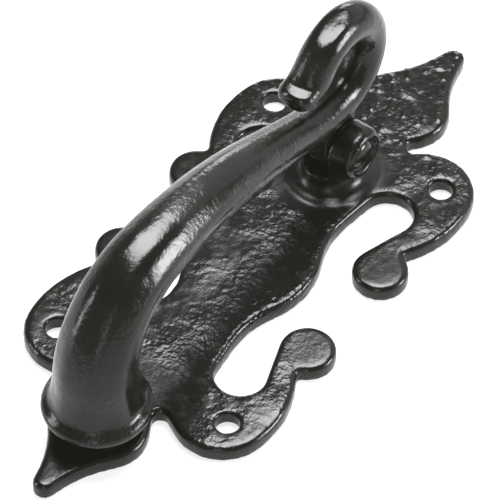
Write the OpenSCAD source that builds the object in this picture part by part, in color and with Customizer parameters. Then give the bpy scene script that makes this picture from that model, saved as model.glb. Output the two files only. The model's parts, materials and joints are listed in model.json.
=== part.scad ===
// Door knocker with a scrolled backplate and a monkey-tail striker arm.
// The back of the plate lies on z = 0, +Y points up the door and +Z out of it.

/* [Backplate] */
// Length of the plate from leaf tip to leaf tip
plate_len = 153.4; // [145:0.2:170]
// Width across the circles of the plate's lobes, which the flanks swell a little past
plate_w = 60.8; // [59.6:0.2:63]
// Thickness of the plate
plate_t = 3.9; // [3.2:0.1:5]
// Radius that rounds the plate's front edge
edge_r = 1.2; // [0.6:0.1:1.6]
// Width of the body where it bulges at mid-length
bulge_w = 28.8; // [27:0.2:31]
// Radius of the bulge
bulge_r = 20.5; // [18:0.5:24]
// Width of the body at its two waists
waist_w = 20.2; // [18.5:0.1:21.5]
// Radius of the hollow at a waist
waist_r = 21; // [18:0.5:24]

/* [Scrolls] */
// Distance of a scroll's lobe from the leaf's belly, along the plate
lobe_dy = 17.7; // [16.7:0.1:18.7]
// Radius of the lobe
lobe_r = 11.1; // [10.4:0.1:12]
// Radius of the scroll's outer flank
flank_r = 25; // [20:0.5:32]
// Direction from the lobe's centre to where the flank begins
flank_angle = 12; // [2:1:18]
// Distance of the scroll's round end from the plate's side
disc_in = 6.1; // [5.7:0.1:7]
// Distance of the scroll's round end from its lobe, along the plate
disc_dy = 24; // [23:0.1:25]
// Radius of the scroll's round end
disc_r = 6.2; // [5.6:0.1:6.7]
// Radius of the notch between the round end and the flank
hook_notch_r = 0.9; // [0.7:0.1:1.5]
// Distance of the slot's round end from the long centre line
slot_x = 16.7; // [16:0.1:17.5]
// Distance of the slot's round end from the lobe, along the plate
slot_dy = 10.1; // [9.2:0.1:11]
// Radius of the slot's round end
slot_r = 5.6; // [5:0.1:6]

/* [Leaves] */
// Width of a leaf at its belly
leaf_w = 22.2; // [20.6:0.2:24]
// Length of a leaf from its belly to its tip
leaf_len = 21.4; // [20:0.1:23]
// Radius of the belly
belly_r = 9.4; // [8.4:0.1:10]
// Radius of the notch between a leaf and a lobe
leaf_notch_r = 1.8; // [1.5:0.1:2.6]
// Radius of the hollow between the belly and the tip
ogee_r = 28.5; // [22:0.5:34]
// Radius of a leaf's tip
tip_r = 2.5; // [2:0.1:3]
// Sideways lean of the upper leaf's tip
tip_lean = 2.4; // [0:0.1:3]

/* [Screw holes] */
// Diameter of a screw hole
hole_d = 5.4; // [4.5:0.1:6.2]
// Distance of a screw hole from its lobe, across the plate
hole_out = 2.9; // [2.2:0.1:3.5]
// Distance of a screw hole from its lobe, along the plate
hole_up = 2.3; // [1.6:0.1:3]

/* [Hinge] */
// Distance of the hinge pin above the round ends of the slots
pin_dy = 2.5; // [1.5:0.1:4]
// Height of the hinge pin above the plate's face
pin_h = 11; // [10:0.1:13]
// Diameter of the hinge pin
pin_d = 5; // [4:0.1:5.6]
// Radial clearance between the pin and the arm's lug
pin_clear = 0.06; // [0.03:0.01:0.09]
// Radius of the hinge barrel
barrel_r = 6.3; // [5.8:0.1:7]
// Length of the hinge barrel, nose to nose
barrel_len = 18.4; // [17:0.2:20]
// Radius that rounds the barrel's noses
nose_r = 1.9; // [1:0.1:2]
// Diameter of the pin's head
head_d = 7.8; // [7:0.1:8.2]
// Depth of the recess that takes a head, and height of the domed head
recess_depth = 1.6; // [1.2:0.1:2]
// Height of the pin's closed end, opposite the head
closed_end_h = 1; // [0.6:0.1:1.2]
// Radius of the round base under the hinge
base_r = 9.8; // [9.2:0.1:10.4]
// Height of the lip where the base meets the plate
base_lip = 0.5; // [0.3:0.1:1]
// Radius of the base's hollow flare
flare_r = 3.1; // [2.8:0.1:4.2]

/* [Striker arm] */
// Height of the arm's back above the plate's face, at its centre line
arm_h = 36.1; // [34:0.1:42]
// Radius of the elbow's centre line
elbow_r = 19.9; // [18:0.1:22]
// Radius of the arm at its lower end, where its taper begins
arm_r = 9.5; // [8.6:0.1:10.2]
// Widening of the lower end towards the collar
foot_flare = 1.1; // [0.6:0.1:1.6]
// Height over which the lower end widens
foot_len = 10; // [8:0.5:12]
// Distance before the hinge pin at which the taper ends
neck_dy = 12; // [9:0.5:15]
// Radius of the arm where the taper ends
neck_r = 4.6; // [4.2:0.1:5]
// Gap between the hinge barrel and the underside of the arm over it
neck_gap = 0.1; // [0:0.1:1]
// Radius of the tail at its tip
tail_r = 4.5; // [3.8:0.1:4.6]
// Radius of the arm's gentle back, between the elbow and the neck
back_r = 92; // [80:1:110]
// Slope of the arm where the elbow ends and the back begins
back_slope = 3; // [0:0.5:6]
// Radius of the neck's hollow, over the hinge
neck_bend_r = 42; // [34:1:50]
// Slope of the arm where the neck ends and the curl begins
curl_slope = 1; // [0:0.5:4]
// Radius of the tail's curl, at its centre line
curl_r = 10.9; // [10:0.1:12]
// Distance of the curl's centre beyond the hinge pin
curl_dy = 1.2; // [0:0.1:4]
// Heading at which the curl ends, counted from up the door
curl_end = 220; // [212:1:226]
// Length of the straight tail that follows the curl
tail_len = 9.5; // [7:0.5:11]
// Thickness of the arm's hinge lug
lug_w = 5; // [4:0.1:6]
// Radius of the lug's eye
lug_r = 6; // [5.5:0.1:6.1]
// Reach of the lug's web towards the elbow
web_front = 16.5; // [14:0.5:18]
// Reach of the lug's web towards the curl
web_rear = 9.9; // [8:0.1:11]
// Radius of the hollow between the eye and the web
web_hollow_r = 8.8; // [7.5:0.1:10]
// Radius of the web's ends, buried in the arm
web_end_r = 1.7; // [1.2:0.1:2]

/* [Strike] */
// Distance of the strike below the lower leaf's belly
strike_dy = 0.3; // [-1:0.1:1.5]
// Height of the strike stud above the plate's face
stud_h = 4.4; // [3.5:0.1:6]
// Radius of the stud's head
stud_r = 7; // [5:0.1:8]
// Radius that rounds the stud's edge
stud_edge_r = 1.6; // [0.8:0.1:2]
// Radius of the stud's shank
shank_r = 3; // [2:0.1:4]
// Largest radius of the collar round the arm's lower end
collar_r = 11.9; // [11.4:0.1:12.6]
// Radius of the collar's rounded bead
bead_r = 1.7; // [1.2:0.1:2]

/* [Hidden] */
$fn = 64;

// Gap left between pieces that touch or pass each other without a fit
gap = 0.25;
// Depth by which joined shapes run into each other
bury = 0.5;
// Largest turn of one chord on outlines and profiles
arc_step = 15;
// Turn from the plate's wall to the first flat of its rounded front edge
flat_turn = 22.5;
// Distance by which the cut of that edge stands off the plate
edge_over = 0.2;
// Largest turn of one chord along the arm
sweep_step = 9;
// Longest chord on an outline or along the arm
longest_chord = 3.5;
// Height between the rings of the arm's upright lower end
leg_step = 2.5;
// Sides of the arm's round section
arm_sides = 30;
// Turn between the rings that round the tail's tip
tip_step = 25;
// Two points closer than this are one point
same_point = 0.05;
// A turn backwards smaller than this is no turn
no_turn = 1;
// Slope above which the arm belongs to the elbow or the curl
steep = 45;
iron = [0.06, 0.06, 0.06];
steel = [0.1, 0.1, 0.1];

leaf_y = plate_len / 2 - leaf_len;
lobe_x = plate_w / 2 - lobe_r;
lobe_y = leaf_y - lobe_dy;
disc_x = plate_w / 2 - disc_in;
disc_y = lobe_y - disc_dy;
slot_y = lobe_y - slot_dy;
hole_x = lobe_x + hole_out;
hole_y = lobe_y + hole_up;
strike_y = leaf_y + strike_dy;
pin_y = slot_y + pin_dy;
pin_z = plate_t + pin_h;
neck_z = pin_z + barrel_r + neck_gap + neck_r;
ear_x = lug_w / 2 + gap;
recess_r = head_d / 2 + gap;
recess_x = barrel_len / 2 - recess_depth;
collar_z = plate_t + stud_h + gap;

// A round stretch of an outline is a circle [x, y, s]. The outline is the belt round them:
// s > 0 turns left round a full form, s < 0 turns right round a hollow.
function unit_clamp(v) = max(-1, min(1, v));
function wrap(v) = v - 360 * floor((v + no_turn) / 360);
function span(a, b) = norm([b.x - a.x, b.y - a.y]);
function heading(a, b) =
    atan2(b.y - a.y, b.x - a.x) + asin(unit_clamp((a[2] - b[2]) / span(a, b)));
function turn(h0, h1, s) = s > 0 ? wrap(h1 - h0) : -wrap(h0 - h1);
function on_belt(c, e, h) = [c.x + (c[2] - e) * sin(h), c.y - (c[2] - e) * cos(h)];

// One arc is [circle, first heading, turn, chords, points kept]
function arc(c, h0, h1, join, step) =
    let (
        t = turn(h0, h1, c[2]),
        run = abs(t * c[2]) * PI / 180,
        m = max(1, ceil(abs(t) / step), ceil(run / longest_chord))
    )
    [c, h0, t, m, !is_undef(join) && span(on_belt(c, 0, h1), join) < same_point ? m - 1 : m];
function closed_belt(cs, step) =
    let (n = len(cs))
    [for (i = [0 : n - 1])
        let (c = cs[i], next = cs[(i + 1) % n], h1 = heading(c, next))
        arc(c, heading(cs[(i + n - 1) % n], c), h1, on_belt(next, 0, h1), step)];
function open_belt(cs, first, last, step) =
    let (n = len(cs))
    [for (i = [0 : n - 1])
        let (
            c = cs[i],
            h0 = i == 0 ? first : heading(cs[i - 1], c),
            h1 = i == n - 1 ? last : heading(c, cs[i + 1]),
            join = i == n - 1 ? undef : on_belt(cs[i + 1], 0, h1)
        )
        arc(c, h0, h1, join, step)];
function belt_points(arcs, inset = 0) =
    [for (a = arcs) for (k = [0 : a[4]]) on_belt(a[0], inset, a[1] + a[2] * k / a[3])];
function belt_headings(arcs) = [for (a = arcs) for (k = [0 : a[4]]) a[1] + a[2] * k / a[3]];

// A hollow of radius r that touches two full circles, on the right of the way from a to b
function nestle(a, b, r) =
    let (
        ra = a[2] + r,
        rb = b[2] + r,
        d = span(a, b),
        u = (ra * ra - rb * rb + d * d) / (2 * d),
        w = sqrt(max(0, ra * ra - u * u)),
        way = [b.x - a.x, b.y - a.y] / d
    )
    [a.x + way.x * u + way.y * w, a.y + way.y * u - way.x * w, -r];
// A circle of signed radius s that continues circle c from heading h
function follow(c, s, h) = [c.x + (c[2] - s) * sin(h), c.y - (c[2] - s) * cos(h), s];
function mirrored(cs, sx, sy) = [for (c = cs) [sx * c.x, sy * c.y, c[2]]];
function reversed(cs) = [for (i = [len(cs) - 1 : -1 : 0]) cs[i]];

// One quarter of the plate's outline, from the waist to the leaf's hollow below its tip
bulge = [bulge_w / 2 - bulge_r, 0, bulge_r];
function leaf_tip(lean) = [lean, plate_len / 2 - tip_r, tip_r];
function quarter(lean) =
    let (
        waist_x = waist_w / 2 + waist_r,
        waist_y = sqrt(max(0, pow(bulge_r + waist_r, 2) - pow(waist_x - bulge.x, 2))),
        waist = [waist_x, waist_y, -waist_r],
        disc = [disc_x, disc_y, disc_r],
        lobe = [lobe_x, lobe_y, lobe_r],
        flank = follow(lobe, flank_r, flank_angle + 90),
        belly = [leaf_w / 2 - belly_r + lean / 2, leaf_y, belly_r]
    )
    [
        waist,
        [slot_x, slot_y, -slot_r],
        disc,
        nestle(disc, flank, hook_notch_r),
        flank,
        lobe,
        nestle(lobe, belly, leaf_notch_r),
        belly,
        nestle(belly, leaf_tip(lean), ogee_r)
    ];
plate_circles = concat(
    [bulge],
    quarter(tip_lean),
    [leaf_tip(tip_lean)],
    reversed(mirrored(quarter(-tip_lean), -1, 1)),
    mirrored([bulge], -1, 1),
    mirrored(quarter(0), -1, -1),
    mirrored([leaf_tip(0)], 1, -1),
    reversed(mirrored(quarter(0), 1, -1))
);
plate_belt = closed_belt(plate_circles, arc_step);

// The arm's centre line in the plane of Y and Z, from the collar to the tail's tip
elbow = [elbow_r - strike_y, plate_t + arm_h - elbow_r, -elbow_r];
back = follow(elbow, -back_r, back_slope);
curl = [pin_y + curl_dy, neck_z + curl_r, curl_r];
neck_bend = follow(curl, neck_bend_r, curl_slope);
arm_arcs = open_belt([elbow, back, neck_bend, curl], 90, curl_end, sweep_step);
arm_leg = [for (z = [collar_z + bead_r : leg_step : elbow.y - leg_step / 2]) [-strike_y, z]];
tail_end = on_belt(curl, 0, curl_end) + tail_len * [cos(curl_end), sin(curl_end)];
arm_line = concat(arm_leg, belt_points(arm_arcs), [tail_end]);
arm_heading = concat([for (p = arm_leg) 90], belt_headings(arm_arcs), [curl_end]);
function lengths(p, i = 0, sum = 0) =
    i == len(p) - 1 ? [sum] : concat([sum], lengths(p, i + 1, sum + norm(p[i + 1] - p[i])));
arm_run = lengths(arm_line);
gentle = [for (i = [0 : len(arm_line) - 1]) if (arm_heading[i] < steep) [arm_line[i].x, arm_run[i]]];
neck_run = lookup(pin_y - neck_dy, gentle);
tail_run = arm_run[len(arm_run) - 1];
function arm_radius(s) =
    s < neck_run
        ? arm_r + (neck_r - arm_r) * s / neck_run + foot_flare * pow(max(0, 1 - s / foot_len), 2)
        : neck_r + (tail_r - neck_r) * (s - neck_run) / (tail_run - neck_run);

// A closed skin over rings of points, capped at both ends
module skin(rings) {
    n = len(rings[0]);
    last = len(rings) - 1;
    sides = [
        for (j = [0 : last - 1]) for (i = [0 : n - 1])
            [j * n + i, (j + 1) * n + i, (j + 1) * n + (i + 1) % n, j * n + (i + 1) % n]
    ];
    polyhedron(
        points = [for (ring = rings) each ring],
        faces = concat([[for (i = [0 : n - 1]) i]], sides, [[for (i = [n - 1 : -1 : 0]) last * n + i]])
    );
}

// A closed ring: each row of points runs once round, and the rows go round the ring's section
module ring(rows) {
    n = len(rows[0]);
    m = len(rows);
    polyhedron(
        points = [for (row = rows) each row],
        faces = [
            for (j = [0 : m - 1]) for (i = [0 : n - 1])
                [j * n + i, (j + 1) % m * n + i, (j + 1) % m * n + (i + 1) % n, j * n + (i + 1) % n]
        ]
    );
}

module along_x(length) {
    rotate([90, 0, 90]) linear_extrude(length, center = true) children();
}

module cross_bore(r, length) {
    translate([0, pin_y, pin_z]) rotate([0, 90, 0]) cylinder(r = r, h = length, center = true);
}

// One flat of the rounded front edge is tangent at angle a: its height at an inset, and back
function flat_z(a, inset) = plate_t - edge_r * (1 - sin(a)) + (inset - edge_r * (1 - cos(a))) / tan(a);
function flat_inset(a, z) = edge_r * (1 - cos(a)) + (z - plate_t + edge_r * (1 - sin(a))) * tan(a);

// The waste that two flats take off the front edge, all round the outline
module front_edge_waste() {
    over_z = plate_t + edge_over;
    corner = edge_r * (1 - cos(45) / cos(flat_turn));
    section = [
        [-edge_over, flat_z(flat_turn, -edge_over)],
        [-edge_over, over_z],
        [flat_inset(90 - flat_turn, over_z), over_z],
        [corner, plate_t - corner]
    ];
    ring([for (p = section) [for (q = belt_points(plate_belt, p.x)) [q.x, q.y, p.y]]]);
}

// The scrolled plate, rounded along its front edge
module scroll_plate() {
    difference() {
        linear_extrude(plate_t) polygon(belt_points(plate_belt));
        front_edge_waste();
    }
}

module screw_holes() {
    for (sx = [-1, 1])
        for (sy = [-1, 1])
            translate([sx * hole_x, sy * hole_y, -bury])
                cylinder(d = hole_d, h = plate_t + 2 * bury);
}

// The round base that flares out of the plate and carries the hinge barrel
module hinge_base() {
    stem_r = base_r - flare_r;
    lip_z = plate_t + base_lip;
    profile = concat(
        [[0, plate_t / 2], [base_r, plate_t / 2]],
        [for (a = [0 : arc_step : 90]) [base_r - flare_r * sin(a), lip_z + flare_r * (1 - cos(a))]],
        [[stem_r, pin_z], [0, pin_z]]
    );
    translate([0, pin_y, 0]) rotate_extrude() polygon(profile);
}

// The barrel across the base, with rounded noses and a recess for each pin head
module hinge_barrel() {
    half = barrel_len / 2;
    nose = [for (a = [0 : arc_step : 90]) [barrel_r - nose_r * (1 - cos(a)), half - nose_r * (1 - sin(a))]];
    profile = concat(
        [[0, -recess_x], [recess_r, -recess_x], [recess_r, -half]],
        reversed([for (p = nose) [p.x, -p.y]]),
        nose,
        [[recess_r, half], [recess_r, recess_x], [0, recess_x]]
    );
    translate([0, pin_y, pin_z]) rotate([0, 90, 0]) rotate_extrude() polygon(profile);
}

module lug_slot() {
    depth = lug_r + 2 * gap;
    translate([-ear_x, pin_y - 2 * base_r, pin_z - depth])
        cube([2 * ear_x, 4 * base_r, depth + 2 * barrel_r]);
}

module drilled_plate() {
    difference() {
        scroll_plate();
        screw_holes();
        translate([0, -strike_y, -bury]) cylinder(r = shank_r, h = plate_t + 2 * bury);
    }
}

module hinge_ears() {
    difference() {
        union() {
            hinge_base();
            hinge_barrel();
        }
        lug_slot();
        cross_bore(pin_d / 2, barrel_len + 2 * bury);
    }
}

// One casting: the drilled scroll plate and the two hinge ears on their round base
module backplate() {
    color(iron)
    union() {
        drilled_plate();
        hinge_ears();
    }
}

// The stud that the arm strikes, with its shank set in the plate
module strike_stud() {
    top = plate_t + stud_h;
    profile = concat(
        [[0, 0], [shank_r, 0], [shank_r, plate_t], [stud_r, plate_t]],
        [for (a = [0 : arc_step : 90])
            [stud_r - stud_edge_r * (1 - cos(a)), top - stud_edge_r * (1 - sin(a))]],
        [[0, top]]
    );
    color(iron) translate([0, -strike_y, 0]) rotate_extrude() polygon(profile);
}

// The hinge pin, with a domed head in the right-hand recess and a flatter closed end in the left one
module hinge_pin() {
    head_r = head_d / 2;
    profile = concat(
        [for (a = [0 : arc_step : 90]) [head_r * sin(a), -recess_x - closed_end_h * cos(a)]],
        [[pin_d / 2, -recess_x], [pin_d / 2, recess_x]],
        [for (a = [0 : arc_step : 90]) [head_r * cos(a), recess_x + recess_depth * sin(a)]]
    );
    color(steel)
    translate([0, pin_y, pin_z]) rotate([0, 90, 0]) rotate_extrude() polygon(profile);
}

module arm_bar() {
    tail_way = [cos(curl_end), sin(curl_end)];
    stations = concat(
        [for (i = [0 : len(arm_line) - 1]) [arm_line[i], arm_heading[i], arm_radius(arm_run[i])]],
        [for (a = [tip_step : tip_step : 90])
            [tail_end + tail_r * sin(a) * tail_way, curl_end, tail_r * cos(a)]]
    );
    skin([
        for (s = stations)
            [for (k = [0 : arm_sides - 1])
                let (a = -360 * k / arm_sides, v = s[2] * sin(a))
                [s[2] * cos(a), s[0].x - v * sin(s[1]), s[0].y + v * cos(s[1])]]
    ]);
}

// The lug under the neck: an eye round the pin that spreads into the arm's underside
module arm_lug() {
    eye = [pin_y, pin_z, lug_r];
    web_z = neck_z + web_end_r;
    front = [pin_y - web_front, web_z, web_end_r];
    rear = [pin_y + web_rear, web_z, web_end_r];
    circles = [eye, nestle(eye, rear, web_hollow_r), rear, front, nestle(front, eye, web_hollow_r)];
    along_x(lug_w) polygon(belt_points(closed_belt(circles, arc_step)));
}

// The beaded collar round the arm's lower end
module arm_collar() {
    profile = concat(
        [[0, collar_z], [collar_r - bead_r, collar_z]],
        [for (a = [-90 : arc_step : 90])
            [collar_r - bead_r + bead_r * cos(a), collar_z + bead_r + bead_r * sin(a)]],
        [[arm_r - bury, collar_z + 2 * bead_r + bury], [0, collar_z + 2 * bead_r + bury]]
    );
    translate([0, -strike_y, 0]) rotate_extrude() polygon(profile);
}

module knocker_arm() {
    color(iron)
    difference() {
        union() {
            arm_bar();
            arm_lug();
            arm_collar();
        }
        cross_bore(pin_d / 2 + pin_clear, lug_w + 2 * bury);
    }
}

backplate();
strike_stud();
hinge_pin();
knocker_arm();
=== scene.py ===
"""Finished looks of a black cast-iron door knocker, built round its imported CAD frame."""

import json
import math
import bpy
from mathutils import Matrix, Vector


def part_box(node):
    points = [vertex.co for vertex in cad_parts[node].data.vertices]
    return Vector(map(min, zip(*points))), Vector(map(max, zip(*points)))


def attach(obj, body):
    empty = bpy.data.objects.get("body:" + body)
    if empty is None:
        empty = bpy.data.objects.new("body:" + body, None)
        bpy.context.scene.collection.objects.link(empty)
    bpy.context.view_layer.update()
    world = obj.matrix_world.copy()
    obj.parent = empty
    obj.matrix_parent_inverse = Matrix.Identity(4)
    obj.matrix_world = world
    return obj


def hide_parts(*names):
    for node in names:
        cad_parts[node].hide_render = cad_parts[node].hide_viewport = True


bl_info = {
    "name": "Monkey-tail door knocker",
    "version": (1, 0, 0),
    "blender": (4, 5, 0),
    "location": "3D View > Sidebar > Knocker",
    "description": "Builds the knocker's plate, striker arm, hinge pin and strike stud on a studio floor",
    "category": "Object",
}

import bmesh
import bpy
from bpy.props import FloatProperty, FloatVectorProperty, IntProperty, PointerProperty
from mathutils import Matrix, Quaternion, Vector, noise

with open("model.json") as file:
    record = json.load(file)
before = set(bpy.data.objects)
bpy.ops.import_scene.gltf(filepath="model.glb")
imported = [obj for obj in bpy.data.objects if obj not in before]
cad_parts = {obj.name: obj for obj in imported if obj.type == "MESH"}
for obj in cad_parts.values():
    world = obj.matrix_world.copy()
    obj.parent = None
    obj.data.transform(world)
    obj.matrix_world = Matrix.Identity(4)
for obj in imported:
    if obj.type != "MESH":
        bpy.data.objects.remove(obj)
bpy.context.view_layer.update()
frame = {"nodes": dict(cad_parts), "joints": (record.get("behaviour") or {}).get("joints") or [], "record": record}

MM = 0.001
MOUNTS = {mount["name"]: mount for mount in frame["record"]["mounts"]}
PLATE_TOP = MOUNTS["screw_holes"]["pos_m"][2]
PIN = Vector(frame["joints"][0]["pos_m"])
STUD_LOW, STUD_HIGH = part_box("strike_stud")
ARM_LOW, ARM_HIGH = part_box("knocker_arm")
PIN_LOW, PIN_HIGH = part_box("hinge_pin")
STRIKE_Y = (STUD_LOW.y + STUD_HIGH.y) / 2

# Corners closer than this are one corner.
WELD = 0.001 * MM
# Sides of a ring round the arm, and of one round the pin or the stud.
ARM_SIDES = 96
FITTING_SIDES = 64
# Distances from the hinge, the stud and a scroll's end.
# The plate is calm up to the first and rough from the second.
HINGE_CALM = (11 * MM, 15 * MM)
LEAF_CALM = (18 * MM, 24 * MM)
SCROLL_CALM = (4 * MM, 8 * MM)
# The same for the arm's ripples, from the pin.
LUG_CALM = (9 * MM, 14 * MM)
# Distances up from the pin between which the raised spots set in.
SPOTS_START = (8 * MM, 20 * MM)
# Distances from the stud's top between which the streaks on the arm's foot end.
STREAKS_END = (16 * MM, 34 * MM)
# The push at the lower left bay fades along the plate, outside its waist and inside it.
BAY_ALONG = (1 * MM, 9 * MM)
BAY_OUTSIDE = (-5 * MM, -3 * MM)
BAY_INSIDE = (0.5 * MM, 5.5 * MM)
# Smoothing passes on a hammered flat.
FLAT_PASSES = 12
# Mirror strength of the paint, where a half is usual. The lights are bright enough to make up for it.
PAINT_SHINE = 0.25
# Half the floor's width, and its depth under the plate's back.
FLOOR_HALF = 6.0
FLOOR_DROP = 0.1 * MM


def length(name, description, millimetres):
    """A length that a user can change, given in millimetres."""
    return FloatProperty(
        name=name, description=description, default=millimetres * MM, min=0, unit="LENGTH", precision=4
    )


def share(name, description, default):
    """A value from nothing to one."""
    return FloatProperty(
        name=name, description=description, default=default, min=0, max=1, subtype="FACTOR"
    )


def count(name, description, default):
    """A whole number."""
    return IntProperty(name=name, description=description, default=default, min=0)


def angle(name, description, degrees):
    """An angle, given in degrees."""
    radians = math.radians(degrees)
    return FloatProperty(name=name, description=description, default=radians, subtype="ANGLE")


def brightness(name, description, default):
    """A light's brightness, where white paper shows at one."""
    return FloatProperty(name=name, description=description, default=default, min=0)


def tint(name, description, red, green, blue):
    """A linear colour."""
    linear = (red, green, blue)
    return FloatVectorProperty(
        name=name, description=description, default=linear, size=3, min=0, max=1, subtype="COLOR"
    )


class KnockerArm(bpy.types.PropertyGroup):
    """Centre line and thickness of the striker arm."""

    elbow_r: length("Elbow", "Bend of the arm over the collar", 19.9)
    back_r: length("Back", "Long bend of the arm's back", 92)
    back_slope: angle("Back slope", "Rise of the arm where the elbow meets the back", 3)
    neck_bend_r: length("Neck bend", "Bend of the arm above the hinge", 42)
    curl_slope: angle("Curl slope", "Rise of the arm where the curl starts", 1)
    curl_r: length("Curl", "Bend of the curled tail", 10.9)
    curl_h: length("Curl height", "Curl's centre above the plate", 32.9)
    curl_dy: length("Curl offset", "Curl's centre above the pin, along the plate", 1.2)
    curl_end: angle("Curl end", "Heading of the straight tail", 225)
    tail_len: length("Tail", "Straight length after the curl", 4.5)
    tail_kick: angle("Tail kick", "Outward turn of the tail's end", 31)
    kick_r: length("Kick bend", "Bend of the tail's turned end", 6)
    toe_len: length("Toe", "Straight length after the outward turn", 0.8)
    toe_thin: share("Toe thinning", "Share of the tail's thickness that is hammered away at its end", 0.30)
    tail_round: length("Tail rounding", "Roundness of the tail's blunt end", 2.8)
    arm_h: length("Arm height", "Centre line over the plate at the elbow's top", 36.1)
    arm_r: length("Arm radius", "Arm's radius at its lower end, where its taper begins", 9.5)
    foot_flare: length("Foot flare", "Widening of the lower end towards the collar", 1.1)
    foot_len: length("Foot length", "Height over which the lower end widens", 10)
    neck_dy: length("Taper end", "Distance before the pin at which the taper ends", 12)
    neck_r: length("Neck radius", "Arm's radius where the taper ends", 4.6)
    tail_r: length("Tail radius", "Arm's radius at the tip", 4.5)
    collar_r: length("Collar radius", "Outer radius of the beaded collar", 11.9)
    bead_r: length("Bead radius", "Roundness of the collar's bead", 1.7)
    hollow_r: length("Collar hollow", "Hollow between the arm and the bead", 1.0)
    facet: share("Facets", "Depth of the hammered sides along the arm, as a share of its radius", 0.011)
    facets: count("Facet count", "Number of hammered sides round the arm", 8)
    facet_phase: angle("Facet phase", "Where the hammered sides start round the arm", 116)
    flat_way: FloatVectorProperty(
        name="Flat direction",
        description="Direction that the small flats on the curl and the toe face",
        default=(0.105, -0.113, 0.988),
        size=3,
        subtype="DIRECTION",
    )
    flat_bow: length("Flat bow", "Bow of the small flats", 13)
    curl_flat: length("Curl flat", "Depth of the small flat on the curl", 0.70)
    curl_flat_at: angle("Curl flat heading", "Heading of the curl where its flat lies", 187)
    curl_flat_x: length("Curl flat offset", "Distance of the curl's flat from the middle line", 2.2)
    curl_flat_r: length("Curl flat reach", "Reach of the curl's flat", 3.2)
    toe_flat: length("Toe flat", "Depth of the small flat on the toe", 0.61)
    toe_flat_at: length("Toe flat place", "Distance of the toe's flat beyond its straight length", 0.51)
    toe_flat_x: length("Toe flat offset", "Distance of the toe's flat from the middle line", 1.0)
    toe_flat_r: length("Toe flat reach", "Reach of the toe's flat", 2.4)
    step: length("Step", "Distance between rings along the arm", 0.8)


class KnockerCasting(bpy.types.PropertyGroup):
    """Skin and relief of the two castings."""

    plate_skin: length("Plate skin", "Size of the plate's surface cells", 0.42)
    arm_skin: length("Arm skin", "Size of the arm's surface cells", 0.36)
    plate_passes: count("Plate smoothing", "Smoothing passes on the plate", 6)
    arm_passes: count("Arm smoothing", "Smoothing passes on the arm", 8)
    wave: length("Waves", "Height of the plate's broad waves", 0.18)
    wave_size: length("Wave size", "Size of the plate's broad waves", 7)
    lump: length("Lumps", "Height of the plate's lumps", 0.09)
    lump_size: length("Lump size", "Size of the plate's lumps", 3)
    patch_size: length("Patch size", "Size of the patches in which the lumps lie", 14)
    wrinkle: length("Wrinkles", "Height of the plate's fine wrinkles", 0.04)
    wrinkle_size: length("Wrinkle size", "Size of the plate's fine wrinkles", 1.4)
    pimple: length("Pimples", "Height of the raised spots on the upper leaf", 0.24)
    pimple_size: length("Pimple size", "Size of the raised spots on the upper leaf", 2.2)
    scroll_x: length("Scroll end across", "Round scroll end's distance from the middle line", 25.8)
    scroll_y: length("Scroll end along", "Round scroll end's distance from the plate's middle", 12.8)
    waist: length("Waist", "Half the plate's width between its bays", 10)
    bay: length("Left bay", "Extra depth of the lower left bay, which leaves a slit beside the arm", 1.2)
    bay_y: length("Left bay along", "Lower left bay's distance from the plate's middle", 16.5)
    ripple: length("Arm ripple", "Height of the arm's soft ripples", 0.04)
    ripple_size: length("Ripple size", "Size of the arm's soft ripples", 8)
    peel_size: length("Peel size", "Size of the arm's finer ripples", 3)


class KnockerFittings(bpy.types.PropertyGroup):
    """Hinge pin and strike stud."""

    pin_r: length("Pin radius", "Radius of the pin's shank", 2.5)
    dome_h: length("Dome", "Height of the pin's domed head", 2.3)
    closed_h: length("Closed end", "Height of the pin's closed end", 1)
    shank_r: length("Stud shank", "Radius of the stud's shank in the plate", 3)
    edge_r: length("Stud edge", "Roundness of the stud's upper edge", 1.6)


class KnockerPaint(bpy.types.PropertyGroup):
    """Colour and gloss of the black paint."""

    black: tint("Black", "Colour of the paint", 0.0020, 0.0019, 0.0016)
    worn: tint("Worn black", "Colour of the duller patches", 0.0038, 0.0036, 0.0031)
    plate_gloss: share("Plate roughness", "Roughness of the plate's paint", 0.17)
    arm_gloss: share("Arm roughness", "Roughness of the arm's paint", 0.14)


class KnockerStage(bpy.types.PropertyGroup):
    """Floor, soft boxes and camera."""

    floor: tint("Floor", "Colour of the floor", 0.3, 0.3, 0.3)
    table: brightness("Table light", "Brightness of the floor, which is lit from below", 0.74)
    room: brightness("Room light", "Brightness of the room round the floor", 0.30)
    overhead: brightness("Overhead box", "Brightness of the overhead soft box", 30)
    right: brightness("Right box", "Brightness of the right soft box", 36)
    left: brightness("Left box", "Brightness of the rear left soft box", 9)
    strip: brightness("Left strip", "Brightness of the left strip light", 11)
    front: brightness("Front strip", "Brightness of the front strip light", 6)
    wall: brightness("Back wall", "Brightness of the wall behind", 1.1)
    haze: tint("Haze", "Light that the lens spreads over the picture", 0.0095, 0.0090, 0.0072)
    azimuth: angle("Azimuth", "Camera's turn about the plate", 35.22)
    elevation: angle("Elevation", "Camera's height over the plate", 49.54)
    roll: angle("Roll", "Camera's turn about its own axis", 0.30)
    distance: length("Distance", "Camera's distance from the aim", 1076.5)
    aim: FloatVectorProperty(
        name="Aim",
        description="Point that the camera looks at",
        default=(-0.93 * MM, 0.72 * MM, 4.86 * MM),
        size=3,
        unit="LENGTH",
        subtype="XYZ_LENGTH",
    )
    lens: FloatProperty(name="Lens", description="Focal length in millimetres", default=360, min=1)
    sensor: FloatProperty(name="Sensor", description="Width of the film in millimetres", default=36, min=1)


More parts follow.
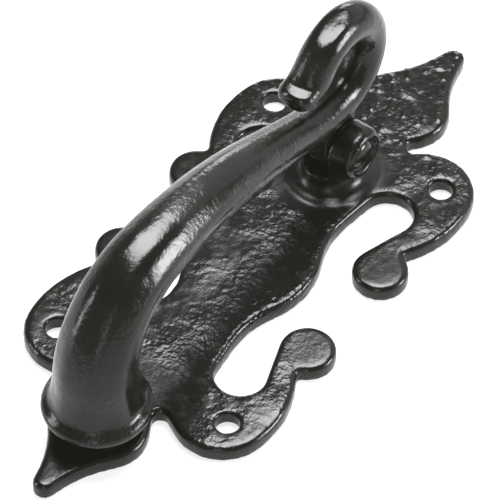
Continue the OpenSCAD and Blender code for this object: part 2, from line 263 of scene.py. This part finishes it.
class Wire:
    """An output socket that takes part in shader arithmetic."""

    def __init__(self, paint, socket):
        self.paint = paint
        self.socket = socket

    def math(self, operation, first, second):
        """Adds a Math node."""
        return self.paint.node("ShaderNodeMath", {"operation": operation}, {0: first, 1: second})

    def __add__(self, other):
        return self.math("ADD", self, other)

    def __radd__(self, other):
        return self.math("ADD", other, self)

    def __sub__(self, other):
        return self.math("SUBTRACT", self, other)

    def __rsub__(self, other):
        return self.math("SUBTRACT", other, self)

    def __mul__(self, other):
        return self.math("MULTIPLY", self, other)

    def __rmul__(self, other):
        return self.math("MULTIPLY", other, self)


class Paint:
    """A material and the nodes that make it."""

    def __init__(self, name):
        self.material = bpy.data.materials.new(name)
        self.material.use_nodes = True
        self.tree = self.material.node_tree
        self.tree.nodes.clear()
        self.place = self.node("ShaderNodeTexCoord", out="Object")

    def node(self, kind, settings=None, sockets=None, out=0):
        """Adds a node, sets it up, fills its sockets and gives its output."""
        made = self.tree.nodes.new(kind)
        for key, value in (settings or {}).items():
            setattr(made, key, value)
        for key, value in (sockets or {}).items():
            if isinstance(value, Wire):
                self.tree.links.new(value.socket, made.inputs[key])
            else:
                made.inputs[key].default_value = value
        return Wire(self, made.outputs[out]) if made.outputs else made

    def noise(self, size, detail=2.0, rough=0.5, stretch=(1, 1, 1)):
        """Noise whose features are about the given size, longer where the stretch is below one."""
        place = self.node("ShaderNodeVectorMath", {"operation": "MULTIPLY"}, {0: self.place, 1: stretch})
        return self.node(
            "ShaderNodeTexNoise",
            sockets={"Vector": place, "Scale": 1 / size, "Detail": detail, "Roughness": rough},
        )

    def beyond(self, place, spot, near, far):
        """A soft step from nothing near a spot to one away from it."""
        ends = {0: place, 1: spot}
        away = self.node("ShaderNodeVectorMath", {"operation": "DISTANCE"}, ends, out="Value")
        return self.ramp(away, near, far)

    def cells(self, size, smooth=0.6):
        """Distance to the nearest of many points spread at about the given size."""
        return self.node(
            "ShaderNodeTexVoronoi",
            {"feature": "SMOOTH_F1"},
            {"Vector": self.place, "Scale": 1 / size, "Smoothness": smooth},
        )

    def ramp(self, value, low, high):
        """A soft step from nothing at low to one at high."""
        return self.node(
            "ShaderNodeMapRange",
            {"interpolation_type": "SMOOTHSTEP"},
            {"Value": value, "From Min": low, "From Max": high},
        )

    def mix(self, factor, first, second):
        """A colour between two colours."""
        return self.node("ShaderNodeMix", {"data_type": "RGBA"}, {0: factor, 6: first, 7: second}, out=2)

    def bump(self, height, depth):
        """Surface normal of a relief."""
        return self.node("ShaderNodeBump", sockets={"Strength": 1.0, "Distance": depth, "Height": height})

    def finish(self, sockets):
        """Ends the material with one surface shader."""
        sockets = {"Specular IOR Level": PAINT_SHINE, **sockets}
        shader = self.node("ShaderNodeBsdfPrincipled", sockets=sockets)
        self.node("ShaderNodeOutputMaterial", sockets={"Surface": shader})
        return self.material


def solid(colour):
    """A colour with nothing seen through it."""
    return (*colour, 1.0)


def plate_paint():
    """Black paint over a wrinkled casting."""
    look = bpy.context.scene.knocker_paint
    cast = bpy.context.scene.knocker_casting
    paint = Paint("wrinkled_black_paint")
    patches = paint.ramp(paint.noise(9 * MM, 2), 0.35, 0.65)
    wrinkles = paint.noise(1.1 * MM, 1.2, 0.6)
    pebbles = paint.cells(1.2 * MM, 0.35)
    grain = paint.noise(0.45 * MM, 2)
    worn = paint.ramp(paint.noise(3.5 * MM, 3), 0.5, 0.75)
    folded = paint.node("ShaderNodeVectorMath", {"operation": "ABSOLUTE"}, {0: paint.place})
    scroll = paint.beyond(folded, Vector((cast.scroll_x, cast.scroll_y, PLATE_TOP)), *SCROLL_CALM)
    hinge = paint.beyond(paint.place, Vector((0, PIN.y, PLATE_TOP)), *HINGE_CALM)
    leaf = paint.beyond(paint.place, Vector((0, STRIKE_Y, PLATE_TOP)), *LEAF_CALM)
    calm = (0.3 + 0.7 * scroll) * (0.2 + 0.8 * hinge) * (0.3 + 0.7 * leaf)
    relief = (wrinkles + 0.4 * pebbles) * (0.25 + 0.75 * patches) * calm + 0.10 * grain
    return paint.finish({
        "Base Color": paint.mix(worn, solid(look.black), solid(look.worn)),
        "Roughness": look.plate_gloss + 0.10 * worn + 0.06 * grain + 0.06 * (1 - hinge),
        "Normal": paint.bump(relief, 0.15 * MM),
    })


def arm_paint():
    """Smooth black paint with orange peel."""
    look = bpy.context.scene.knocker_paint
    paint = Paint("smooth_black_paint")
    patches = paint.ramp(paint.noise(11 * MM, 2), 0.40, 0.65)
    peel = paint.noise(1.7 * MM, 3, 0.5)
    grain = paint.noise(0.5 * MM, 1)
    ragged = paint.noise(1.1 * MM, 1.2, 0.6)
    low = 1 - paint.beyond(paint.place, Vector((0, STRIKE_Y, STUD_HIGH.z)), *STREAKS_END)
    streaks = low * paint.ramp(paint.noise(4 * MM, 3, 0.6, (1, 1, 0.25)), 0.42, 0.62)
    relief = peel * (0.4 + 0.6 * patches) + 1.5 * ragged * (0.3 + 0.7 * patches) + 0.08 * grain
    return paint.finish({
        "Base Color": paint.mix(patches, solid(look.black), solid(look.worn)),
        "Roughness": look.arm_gloss + 0.12 * patches + 0.05 * grain + 0.08 * streaks,
        "Normal": paint.bump(relief, 0.10 * MM),
    })


def pin_paint():
    """Thin black paint over turned steel."""
    look = bpy.context.scene.knocker_paint
    paint = Paint("painted_pin_steel")
    worn = paint.ramp(paint.noise(1.8 * MM, 2), 0.5, 0.7)
    return paint.finish({
        "Base Color": paint.mix(worn, solid(look.black), solid(look.worn)),
        "Roughness": look.arm_gloss + 0.10 * worn,
        "Normal": paint.bump(paint.noise(0.9 * MM, 2), 0.05 * MM),
    })


def stud_paint():
    """Black paint, dulled where the arm strikes."""
    look = bpy.context.scene.knocker_paint
    paint = Paint("struck_black_paint")
    worn = paint.ramp(paint.noise(2.5 * MM, 3), 0.4, 0.7)
    return paint.finish({
        "Base Color": paint.mix(worn, solid(look.black), solid(look.worn)),
        "Roughness": look.plate_gloss + 0.15 * worn,
        "Normal": paint.bump(paint.noise(1.1 * MM, 2), 0.08 * MM),
    })


def floor_paint():
    """Matt white studio paper."""
    colour = bpy.context.scene.knocker_stage.floor
    paint = Paint("studio_paper")
    fibres = paint.noise(30 * MM, 3)
    return paint.finish({
        "Base Color": paint.mix(fibres, solid(colour), solid([0.98 * part for part in colour])),
        "Roughness": 0.75 + 0.1 * fibres,
        "Specular IOR Level": 0.2,
        "Emission Color": solid((1, 1, 1)),
        "Emission Strength": bpy.context.scene.knocker_stage.table,
    })


def soft_step(value, low, high):
    """A soft step from nothing at low to one at high."""
    t = min(max((value - low) / (high - low), 0), 1)
    return t * t * (3 - 2 * t)


def cad_copy(node):
    """The node's CAD mesh with its shared corners merged."""
    bm = bmesh.new()
    bm.from_mesh(frame["nodes"][node].data)
    bmesh.ops.remove_doubles(bm, verts=bm.verts, dist=WELD)
    bmesh.ops.recalc_face_normals(bm, faces=bm.faces)
    return bm


def spun(bm, profile, matrix, steps):
    """Spins a profile of (radius, height) points round the matrix's Z axis."""
    points = [bm.verts.new(matrix @ Vector((r, 0, z))) for r, z in profile]
    lines = [bm.edges.new(pair) for pair in zip(points, points[1:])]
    bmesh.ops.spin(
        bm,
        geom=points + lines,
        cent=matrix.translation,
        axis=matrix.to_3x3() @ Vector((0, 0, 1)),
        angle=2 * math.pi,
        steps=steps,
        use_merge=True,
    )
    bmesh.ops.remove_doubles(bm, verts=bm.verts, dist=WELD)
    bmesh.ops.recalc_face_normals(bm, faces=bm.faces)


def arc(centre, radius, start, end, steps):
    """Points (x, y) round a centre, between two angles in degrees."""
    turns = [math.radians(start + (end - start) * k / steps) for k in range(steps + 1)]
    return [(centre[0] + radius * math.cos(t), centre[1] + radius * math.sin(t)) for t in turns]


def make_piece(name, bm):
    """An object at the origin from a finished mesh."""
    mesh = bpy.data.meshes.new(name)
    bm.to_mesh(mesh)
    bm.free()
    piece = bpy.data.objects.new(name, mesh)
    bpy.context.scene.collection.objects.link(piece)
    return piece


def smooth(bm, verts):
    """Moves corners halfway to the middle of their neighbours."""
    bmesh.ops.smooth_vert(bm, verts=verts, factor=0.5, use_axis_x=True, use_axis_y=True, use_axis_z=True)


def fuse(piece, cell, passes):
    """Turns a piece's overlapping shells into one even skin and smooths it."""
    skin = piece.modifiers.new("Skin", "REMESH")
    skin.mode = "VOXEL"
    skin.voxel_size = cell
    view = bpy.context.evaluated_depsgraph_get()
    mesh = bpy.data.meshes.new_from_object(piece.evaluated_get(view))
    piece.modifiers.clear()
    bm = bmesh.new()
    bm.from_mesh(mesh)
    bpy.data.meshes.remove(mesh)
    if not bm.verts:
        raise RuntimeError(f"{piece.name} came out empty")
    for _ in range(passes):
        smooth(bm, bm.verts)
    bmesh.ops.recalc_face_normals(bm, faces=bm.faces)
    bm.normal_update()
    return bm


def settle(piece, bm, node, body, material):
    """Puts a finished mesh on its piece, which takes the CAD node's place."""
    bm.to_mesh(piece.data)
    bm.free()
    for face in piece.data.polygons:
        face.use_smooth = True
    piece.data.materials.clear()
    piece.data.materials.append(material)
    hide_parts(node)
    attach(piece, body)


def deepen_bay(bm, cast):
    """Pushes in the plate's rim at the lower left bay."""
    for vert in bm.verts:
        along = 1 - soft_step(abs(vert.co.y + cast.bay_y), *BAY_ALONG)
        rim = soft_step(vert.co.x + cast.waist, *BAY_OUTSIDE)
        rim *= 1 - soft_step(vert.co.x + cast.waist, *BAY_INSIDE)
        vert.co.x += cast.bay * along * rim


def cast_height(vert, cast):
    """Height of the casting's relief at a corner of the plate, which keeps its back plain."""
    if vert.normal.z < -0.5:
        return 0
    spot = vert.co
    rough = soft_step(noise.noise(spot / cast.patch_size), -0.5, 0.5)
    upper = soft_step(spot.y - PIN.y, *SPOTS_START)
    spots = soft_step(noise.noise(spot / cast.pimple_size + Vector((0, 0, 4))), 0.25, 0.55)
    height = cast.wave * noise.noise(spot / cast.wave_size)
    height += cast.lump * rough * noise.noise(spot / cast.lump_size + Vector((5, 0, 0)))
    height += cast.wrinkle * noise.noise(spot / cast.wrinkle_size + Vector((0, 9, 0)))
    height += cast.pimple * upper * spots
    hinge = soft_step(math.hypot(spot.x, spot.y - PIN.y), *HINGE_CALM)
    leaf = soft_step(math.hypot(spot.x, spot.y - STRIKE_Y), *LEAF_CALM)
    scroll = soft_step(math.hypot(abs(spot.x) - cast.scroll_x, abs(spot.y) - cast.scroll_y), *SCROLL_CALM)
    calm = (0.15 + 0.85 * hinge) * (0.3 + 0.7 * leaf) * (0.35 + 0.65 * scroll)
    front = 0.25 + 0.75 * soft_step(vert.normal.z, 0.1, 0.9)
    return height * calm * front


class KNOCKER_OT_plate(bpy.types.Operator):
    """Cast plate with its scrolls, leaves, holes and hinge ears"""

    bl_idname = "knocker.plate"
    bl_label = "Cast plate"

    def execute(self, context):
        cast = context.scene.knocker_casting
        piece = make_piece("cast_plate", cad_copy("backplate"))
        bm = fuse(piece, cast.plate_skin, cast.plate_passes)
        deepen_bay(bm, cast)
        moves = [(vert, vert.normal * cast_height(vert, cast)) for vert in bm.verts]
        for vert, move in moves:
            vert.co += move
        settle(piece, bm, "backplate", "plate", plate_paint())
        return {"FINISHED"}


def ahead(heading):
    """Direction of a heading in the Y-Z plane."""
    return Vector((math.cos(heading), math.sin(heading)))


def side(heading):
    """Direction to the right of a heading in the Y-Z plane."""
    return Vector((math.sin(heading), -math.cos(heading)))


def curl_centre(arm):
    """Centre of the curl in the Y-Z plane."""
    return Vector((PIN.y + arm.curl_dy, PLATE_TOP + arm.curl_h))


def bend(stations, centre, radius, start, end, step):
    """Adds even stations round a centre, between two headings."""
    steps = max(1, round(abs(radius * (end - start)) / step))
    for k in range(1, steps + 1):
        heading = start + (end - start) * k / steps
        stations.append((centre + radius * side(heading), heading))


def straight(stations, end, heading, step):
    """Adds even stations from the last one to a point."""
    start = stations[-1][0]
    steps = round((end - start).length / step)
    for k in range(1, steps + 1):
        stations.append((start.lerp(end, k / steps), heading))


def arm_line(arm):
    """The arm's centre line as (point in Y-Z, heading) stations, from the collar to the tail's end."""
    upright = math.radians(90)
    elbow = Vector((STRIKE_Y + arm.elbow_r, PLATE_TOP + arm.arm_h - arm.elbow_r))
    back = elbow - (arm.elbow_r - arm.back_r) * side(arm.back_slope)
    curl = curl_centre(arm)
    neck = curl + (arm.curl_r - arm.neck_bend_r) * side(arm.curl_slope)
    across = neck - back
    reach = math.asin((arm.back_r + arm.neck_bend_r) / across.length)
    fall = math.atan2(across.y, across.x) - reach
    foot = Vector((STRIKE_Y, ARM_LOW.z + arm.bead_r))
    bends = [
        (elbow, -arm.elbow_r, upright, arm.back_slope),
        (back, -arm.back_r, arm.back_slope, fall),
        (neck, arm.neck_bend_r, fall, arm.curl_slope),
        (curl, arm.curl_r, arm.curl_slope, arm.curl_end),
    ]
    stations = [(foot, upright)]
    for centre, radius, start, end in bends:
        straight(stations, centre + radius * side(start), start, arm.step)
        bend(stations, centre, radius, start, end, arm.step)
    straight(stations, stations[-1][0] + arm.tail_len * ahead(arm.curl_end), arm.curl_end, arm.step)
    kick = stations[-1][0] + arm.kick_r * side(arm.curl_end)
    toe = arm.curl_end - arm.tail_kick
    bend(stations, kick, -arm.kick_r, arm.curl_end, toe, arm.step)
    straight(stations, stations[-1][0] + arm.toe_len * ahead(toe), toe, arm.step)
    return stations


def arm_radius(arm, run, neck_run, tail_run):
    """The arm's radius at a distance along it: a taper from a widened foot, then the neck and tail."""
    if run < neck_run:
        foot = max(0, 1 - run / arm.foot_len)
        return arm.arm_r + (arm.neck_r - arm.arm_r) * run / neck_run + arm.foot_flare * foot ** 2
    return arm.neck_r + (arm.tail_r - arm.neck_r) * (run - neck_run) / (tail_run - neck_run)


def sweep_arm(bm, arm, stations):
    """Draws a ring along the arm's centre line, with its taper, thinned toe and rounded end."""
    runs = [0.0]
    for (here, _), (there, _) in zip(stations, stations[1:]):
        runs.append(runs[-1] + (there - here).length)
    taper_end = PIN.y - arm.neck_dy
    neck_run = next(run for run, (point, _) in zip(runs, stations) if point.x >= taper_end)
    thin_run = runs[-1] - arm.toe_len - arm.kick_r * arm.tail_kick
    rings = []
    for run, (point, heading) in zip(runs, stations):
        radius = arm_radius(arm, run, neck_run, runs[-1])
        facet = arm.facet * (1 - soft_step(run, 0.6 * neck_run, neck_run))
        thick = 1 - arm.toe_thin * soft_step(run, thin_run - arm.tail_len / 2, runs[-1])
        rings.append((point + (1 - thick) * radius * side(heading), heading, radius, facet, thick))
    point, heading, _, facet, thick = rings[-1]
    # The rounding stops short of its end, which leaves a last ring to fill.
    for radius, beyond in arc((arm.tail_r - arm.tail_round, 0), arm.tail_round, 0, 85, 9)[1:]:
        rings.append((point + beyond * ahead(heading), heading, radius, facet, thick))

    def stand(ring):
        spot, heading, radius, _, thick = ring
        turn = Matrix.Rotation(heading - math.pi / 2, 4, "X")
        grow = Matrix.Diagonal((radius, radius * thick, radius, 1))
        return Matrix.Translation((0, spot.x, spot.y)) @ turn @ grow

    def shape(verts, before, after):
        back = before.inverted()
        place = stand(after)
        facet = after[3]
        for vert in verts:
            flat = back @ vert.co
            turn = math.atan2(flat.y, flat.x)
            radius = 1 + facet * math.cos(arm.facets * turn + arm.facet_phase)
            vert.co = place @ Vector((radius * math.cos(turn), radius * math.sin(turn), 0))

    ring = bmesh.ops.create_circle(bm, cap_ends=False, segments=ARM_SIDES, radius=1.0)["verts"]
    loop = list({edge for vert in ring for edge in vert.link_edges})
    shape(ring, Matrix(), rings[0])
    bmesh.ops.holes_fill(bm, edges=loop)
    for before, after in zip(rings, rings[1:]):
        grown = bmesh.ops.extrude_edge_only(bm, edges=loop)["geom"]
        ring = {item for item in grown if isinstance(item, bmesh.types.BMVert)}
        edges = [item for item in grown if isinstance(item, bmesh.types.BMEdge)]
        loop = [edge for edge in edges if ring.issuperset(edge.verts)]
        shape(ring, stand(before), after)
    bmesh.ops.holes_fill(bm, edges=loop)
    bmesh.ops.recalc_face_normals(bm, faces=bm.faces)


def cut_off(bm, spot, way):
    """Cuts off what lies beyond a plane and closes the cut."""
    whole = bm.verts[:] + bm.edges[:] + bm.faces[:]
    bmesh.ops.bisect_plane(bm, geom=whole, plane_co=spot, plane_no=way, clear_outer=True)
    bmesh.ops.holes_fill(bm, edges=[edge for edge in bm.edges if edge.is_boundary])


def press_flat(bm, x, point, arm, reach):
    """Hammers a gently bowed flat into the skin, which fades out towards its rim."""
    normal = Vector(arm.flat_way)
    spot = Vector((x, point.x, point.y))
    hit = []
    for vert in bm.verts:
        away = vert.co - spot
        high = away.dot(normal)
        across = away - high * normal
        fade = 1 - soft_step(across.length, 0.5 * reach, 2.2 * reach)
        sink = high + across.length_squared / (2 * arm.flat_bow)
        fade *= 1 - soft_step(sink, 0.2 * reach, 0.9 * reach)
        if fade > 0 and sink > 0:
            vert.co -= fade * sink * normal
            hit.append(vert)
    for _ in range(FLAT_PASSES):
        smooth(bm, hit)


def spin_collar(bm, arm):
    """Spins the beaded collar, with a hollow between its bead and the arm."""
    bead = (arm.collar_r - arm.bead_r, ARM_LOW.z + arm.bead_r)
    lean = (arm.arm_r + arm.foot_flare / 2 + arm.hollow_r, ARM_LOW.z + 2 * arm.bead_r + arm.hollow_r)
    profile = [(0, ARM_LOW.z), (bead[0], ARM_LOW.z)]
    profile += arc(bead, arm.bead_r, -80, 90, 16)
    profile += arc(lean, arm.hollow_r, 250, 180, 8)
    profile += [(0, lean[1])]
    spun(bm, profile, Matrix.Translation((0, STRIKE_Y, 0)), ARM_SIDES)


class KNOCKER_OT_arm(bpy.types.Operator):
    """Striker arm with its elbow, beaded collar, neck, lug and curled tail"""

    bl_idname = "knocker.arm"
    bl_label = "Striker arm"

    def execute(self, context):
        arm = context.scene.knocker_arm
        cast = context.scene.knocker_casting
        bm = cad_copy("knocker_arm")
        lug_top = PLATE_TOP + arm.curl_h - arm.curl_r - arm.neck_r / 2
        cut_off(bm, Vector((0, 0, lug_top)), Vector((0, 0, 1)))
        cut_off(bm, Vector((0, PIN.y - arm.neck_dy, 0)), Vector((0, -1, 0)))
        stations = arm_line(arm)
        sweep_arm(bm, arm, stations)
        spin_collar(bm, arm)
        piece = make_piece("striker_arm", bm)
        bm = fuse(piece, cast.arm_skin, cast.arm_passes)
        for vert in bm.verts:
            clear = soft_step((vert.co - PIN).length, *LUG_CALM)
            ripple = noise.noise(vert.co / cast.ripple_size)
            ripple += 0.4 * noise.noise(vert.co / cast.peel_size)
            vert.co += vert.normal * cast.ripple * clear * ripple
        curl = curl_centre(arm) + (arm.curl_r + arm.tail_r - arm.curl_flat) * side(arm.curl_flat_at)
        press_flat(bm, arm.curl_flat_x, curl, arm, arm.curl_flat_r)
        end, toe = stations[-1]
        end = end + (arm.tail_r - arm.toe_flat) * side(toe) + arm.toe_flat_at * ahead(toe)
        press_flat(bm, arm.toe_flat_x, end, arm, arm.toe_flat_r)
        settle(piece, bm, "knocker_arm", "arm", arm_paint())
        return {"FINISHED"}


class KNOCKER_OT_pin(bpy.types.Operator):
    """Hinge pin with a domed head and a flatter closed end"""

    bl_idname = "knocker.pin"
    bl_label = "Hinge pin"

    def execute(self, context):
        sizes = context.scene.knocker_fittings
        head_r = (PIN_HIGH.z - PIN_LOW.z) / 2
        left = PIN_LOW.x + sizes.closed_h
        right = PIN_HIGH.x - sizes.dome_h
        profile = [(r, left - h * sizes.closed_h / head_r) for h, r in arc((0, 0), head_r, 0, 90, 12)]
        profile += [(sizes.pin_r, left), (sizes.pin_r, right)]
        profile += [(r, right + h * sizes.dome_h / head_r) for r, h in arc((0, 0), head_r, 0, 90, 14)]
        across = Matrix.Translation((0, PIN.y, PIN.z)) @ Matrix.Rotation(math.pi / 2, 4, "Y")
        bm = bmesh.new()
        spun(bm, profile, across, FITTING_SIDES)
        piece = make_piece("domed_pin", bmesh.new())
        settle(piece, bm, "hinge_pin", "plate", pin_paint())
        return {"FINISHED"}


class KNOCKER_OT_stud(bpy.types.Operator):
    """Round stud that the collar falls on"""

    bl_idname = "knocker.stud"
    bl_label = "Strike stud"

    def execute(self, context):
        sizes = context.scene.knocker_fittings
        stud_r = (STUD_HIGH.x - STUD_LOW.x) / 2
        rim = (stud_r - sizes.edge_r, STUD_HIGH.z - sizes.edge_r)
        profile = [(0, 0), (sizes.shank_r, 0), (sizes.shank_r, PLATE_TOP), (stud_r, PLATE_TOP)]
        profile += arc(rim, sizes.edge_r, 0, 90, 10) + [(0, STUD_HIGH.z)]
        bm = bmesh.new()
        spun(bm, profile, Matrix.Translation((0, STRIKE_Y, 0)), FITTING_SIDES)
        piece = make_piece("strike_stud_cap", bmesh.new())
        settle(piece, bm, "strike_stud", "plate", stud_paint())
        return {"FINISHED"}


# Share of a soft box's size that each of its steps covers.
PLAIN_BOX = (1.0,)
BRIGHT_MIDDLE = (1.0, 0.7)
SOFT_RIM = (1.0, 0.92, 0.84, 0.74, 0.62, 0.48)
# Lights in one plane hide each other in reflections, so a box's steps stand this far apart.
STEP_GAP = 10 * MM
# Point on the arm that the soft boxes face.
LIGHT_AIM = Vector((0, -10 * MM, ARM_HIGH.z - PIN.z))


def soft_box(name, radiance, azimuth, elevation, distance, size, steps=PLAIN_BOX, roll=0):
    """A rectangular light turned to the knocker, brighter step by step towards its middle.

    The azimuth counts in degrees from straight below the plate, anticlockwise from above.
    """
    turn = math.radians(azimuth)
    rise = math.radians(elevation)
    out = Vector((math.sin(turn) * math.cos(rise), -math.cos(turn) * math.cos(rise), math.sin(rise)))
    for number, step in enumerate(steps):
        light = bpy.data.lights.new(f"{name}_{number}", "AREA")
        light.shape = "RECTANGLE"
        light.size = size[0] * step
        light.size_y = size[1] * step
        light.energy = radiance / len(steps) * math.pi * light.size * light.size_y
        box = bpy.data.objects.new(light.name, light)
        box.location = LIGHT_AIM + (distance - number * STEP_GAP) * out
        box.rotation_mode = "QUATERNION"
        box.rotation_quaternion = Quaternion(out, math.radians(roll)) @ (-out).to_track_quat("-Z", "Y")
        bpy.context.scene.collection.objects.link(box)


def light_up(stage):
    """Soft boxes round the knocker, at distances and sizes in metres."""
    soft_box("overhead_box", stage.overhead, -160, 72, 0.42, size=(0.31, 0.31), steps=SOFT_RIM, roll=45)
    soft_box("right_box", stage.right, 117, 9, 0.90, size=(0.38, 0.38), steps=BRIGHT_MIDDLE)
    soft_box("left_box", stage.left, -147, 12, 0.90, size=(0.24, 0.30))
    soft_box("left_strip", stage.strip, -52, 13, 0.60, size=(0.12, 0.42))
    soft_box("front_strip", stage.front, 27, 18, 0.90, size=(0.10, 0.70))
    soft_box("back_wall", stage.wall, 172, 26, 1.20, size=(1.30, 0.80))


def lay_floor():
    """A wide sheet of paper just under the plate."""
    bm = bmesh.new()
    bmesh.ops.create_grid(bm, x_segments=1, y_segments=1, size=FLOOR_HALF)
    bmesh.ops.translate(bm, verts=bm.verts, vec=(0, 0, -FLOOR_DROP))
    floor = make_piece("studio_floor", bm)
    floor.data.materials.append(floor_paint())


def fill_room(scene, stage):
    """The room's even light, and the haze that a lens adds to the picture."""
    world = bpy.data.worlds.new("studio_room")
    world.use_nodes = True
    sky = world.node_tree.nodes["Background"]
    sky.inputs["Color"].default_value = solid((1, 1, 1))
    sky.inputs["Strength"].default_value = stage.room
    scene.world = world
    scene.view_settings.view_transform = "Standard"
    scene.view_settings.look = "None"
    scene.view_settings.use_curve_mapping = True
    # A black level below nothing lifts the darkest tones.
    scene.view_settings.curve_mapping.black_level = [-part for part in stage.haze]
    scene.view_settings.curve_mapping.update()


def place_camera(scene, stage):
    """The camera at the photograph's angle."""
    lens = bpy.data.cameras.new("photo_camera")
    lens.lens = stage.lens
    lens.sensor_width = stage.sensor
    lens.clip_start = 0.05
    lens.clip_end = 50
    camera = bpy.data.objects.new("photo_camera", lens)
    turn = Matrix.Rotation(stage.azimuth, 4, "Z") @ Matrix.Rotation(math.pi / 2 - stage.elevation, 4, "X")
    turn = turn @ Matrix.Rotation(stage.roll, 4, "Z")
    camera.matrix_world = Matrix.Translation(stage.aim) @ turn @ Matrix.Translation((0, 0, stage.distance))
    scene.collection.objects.link(camera)
    scene.camera = camera


class KNOCKER_OT_stage(bpy.types.Operator):
    """Pale floor, soft boxes and the camera"""

    bl_idname = "knocker.stage"
    bl_label = "Studio stage"

    def execute(self, context):
        scene = context.scene
        stage = scene.knocker_stage
        lay_floor()
        light_up(stage)
        fill_room(scene, stage)
        place_camera(scene, stage)
        return {"FINISHED"}


class KNOCKER_PT_panel(bpy.types.Panel):
    """The knocker's pieces and sizes"""

    bl_idname = "KNOCKER_PT_panel"
    bl_label = "Door knocker"
    bl_space_type = "VIEW_3D"
    bl_region_type = "UI"
    bl_category = "Knocker"

    def draw(self, context):
        for operator in OPERATORS:
            self.layout.operator(operator.bl_idname)
        for group in GROUPS:
            values = getattr(context.scene, group)
            column = self.layout.column()
            for key in GROUPS[group].__annotations__:
                column.prop(values, key)


GROUPS = {
    "knocker_arm": KnockerArm,
    "knocker_casting": KnockerCasting,
    "knocker_fittings": KnockerFittings,
    "knocker_paint": KnockerPaint,
    "knocker_stage": KnockerStage,
}
OPERATORS = (KNOCKER_OT_plate, KNOCKER_OT_arm, KNOCKER_OT_pin, KNOCKER_OT_stud, KNOCKER_OT_stage)


def register():
    for group in GROUPS:
        bpy.utils.register_class(GROUPS[group])
        setattr(bpy.types.Scene, group, PointerProperty(type=GROUPS[group]))
    for operator in OPERATORS:
        bpy.utils.register_class(operator)
    bpy.utils.register_class(KNOCKER_PT_panel)


def unregister():
    bpy.utils.unregister_class(KNOCKER_PT_panel)
    for operator in reversed(OPERATORS):
        bpy.utils.unregister_class(operator)
    for group in reversed(GROUPS):
        delattr(bpy.types.Scene, group)
        bpy.utils.unregister_class(GROUPS[group])


def main():
    register()
    bpy.ops.knocker.plate()
    bpy.ops.knocker.arm()
    bpy.ops.knocker.pin()
    bpy.ops.knocker.stud()
    bpy.ops.knocker.stage()


if __name__ == "__main__":
    main()
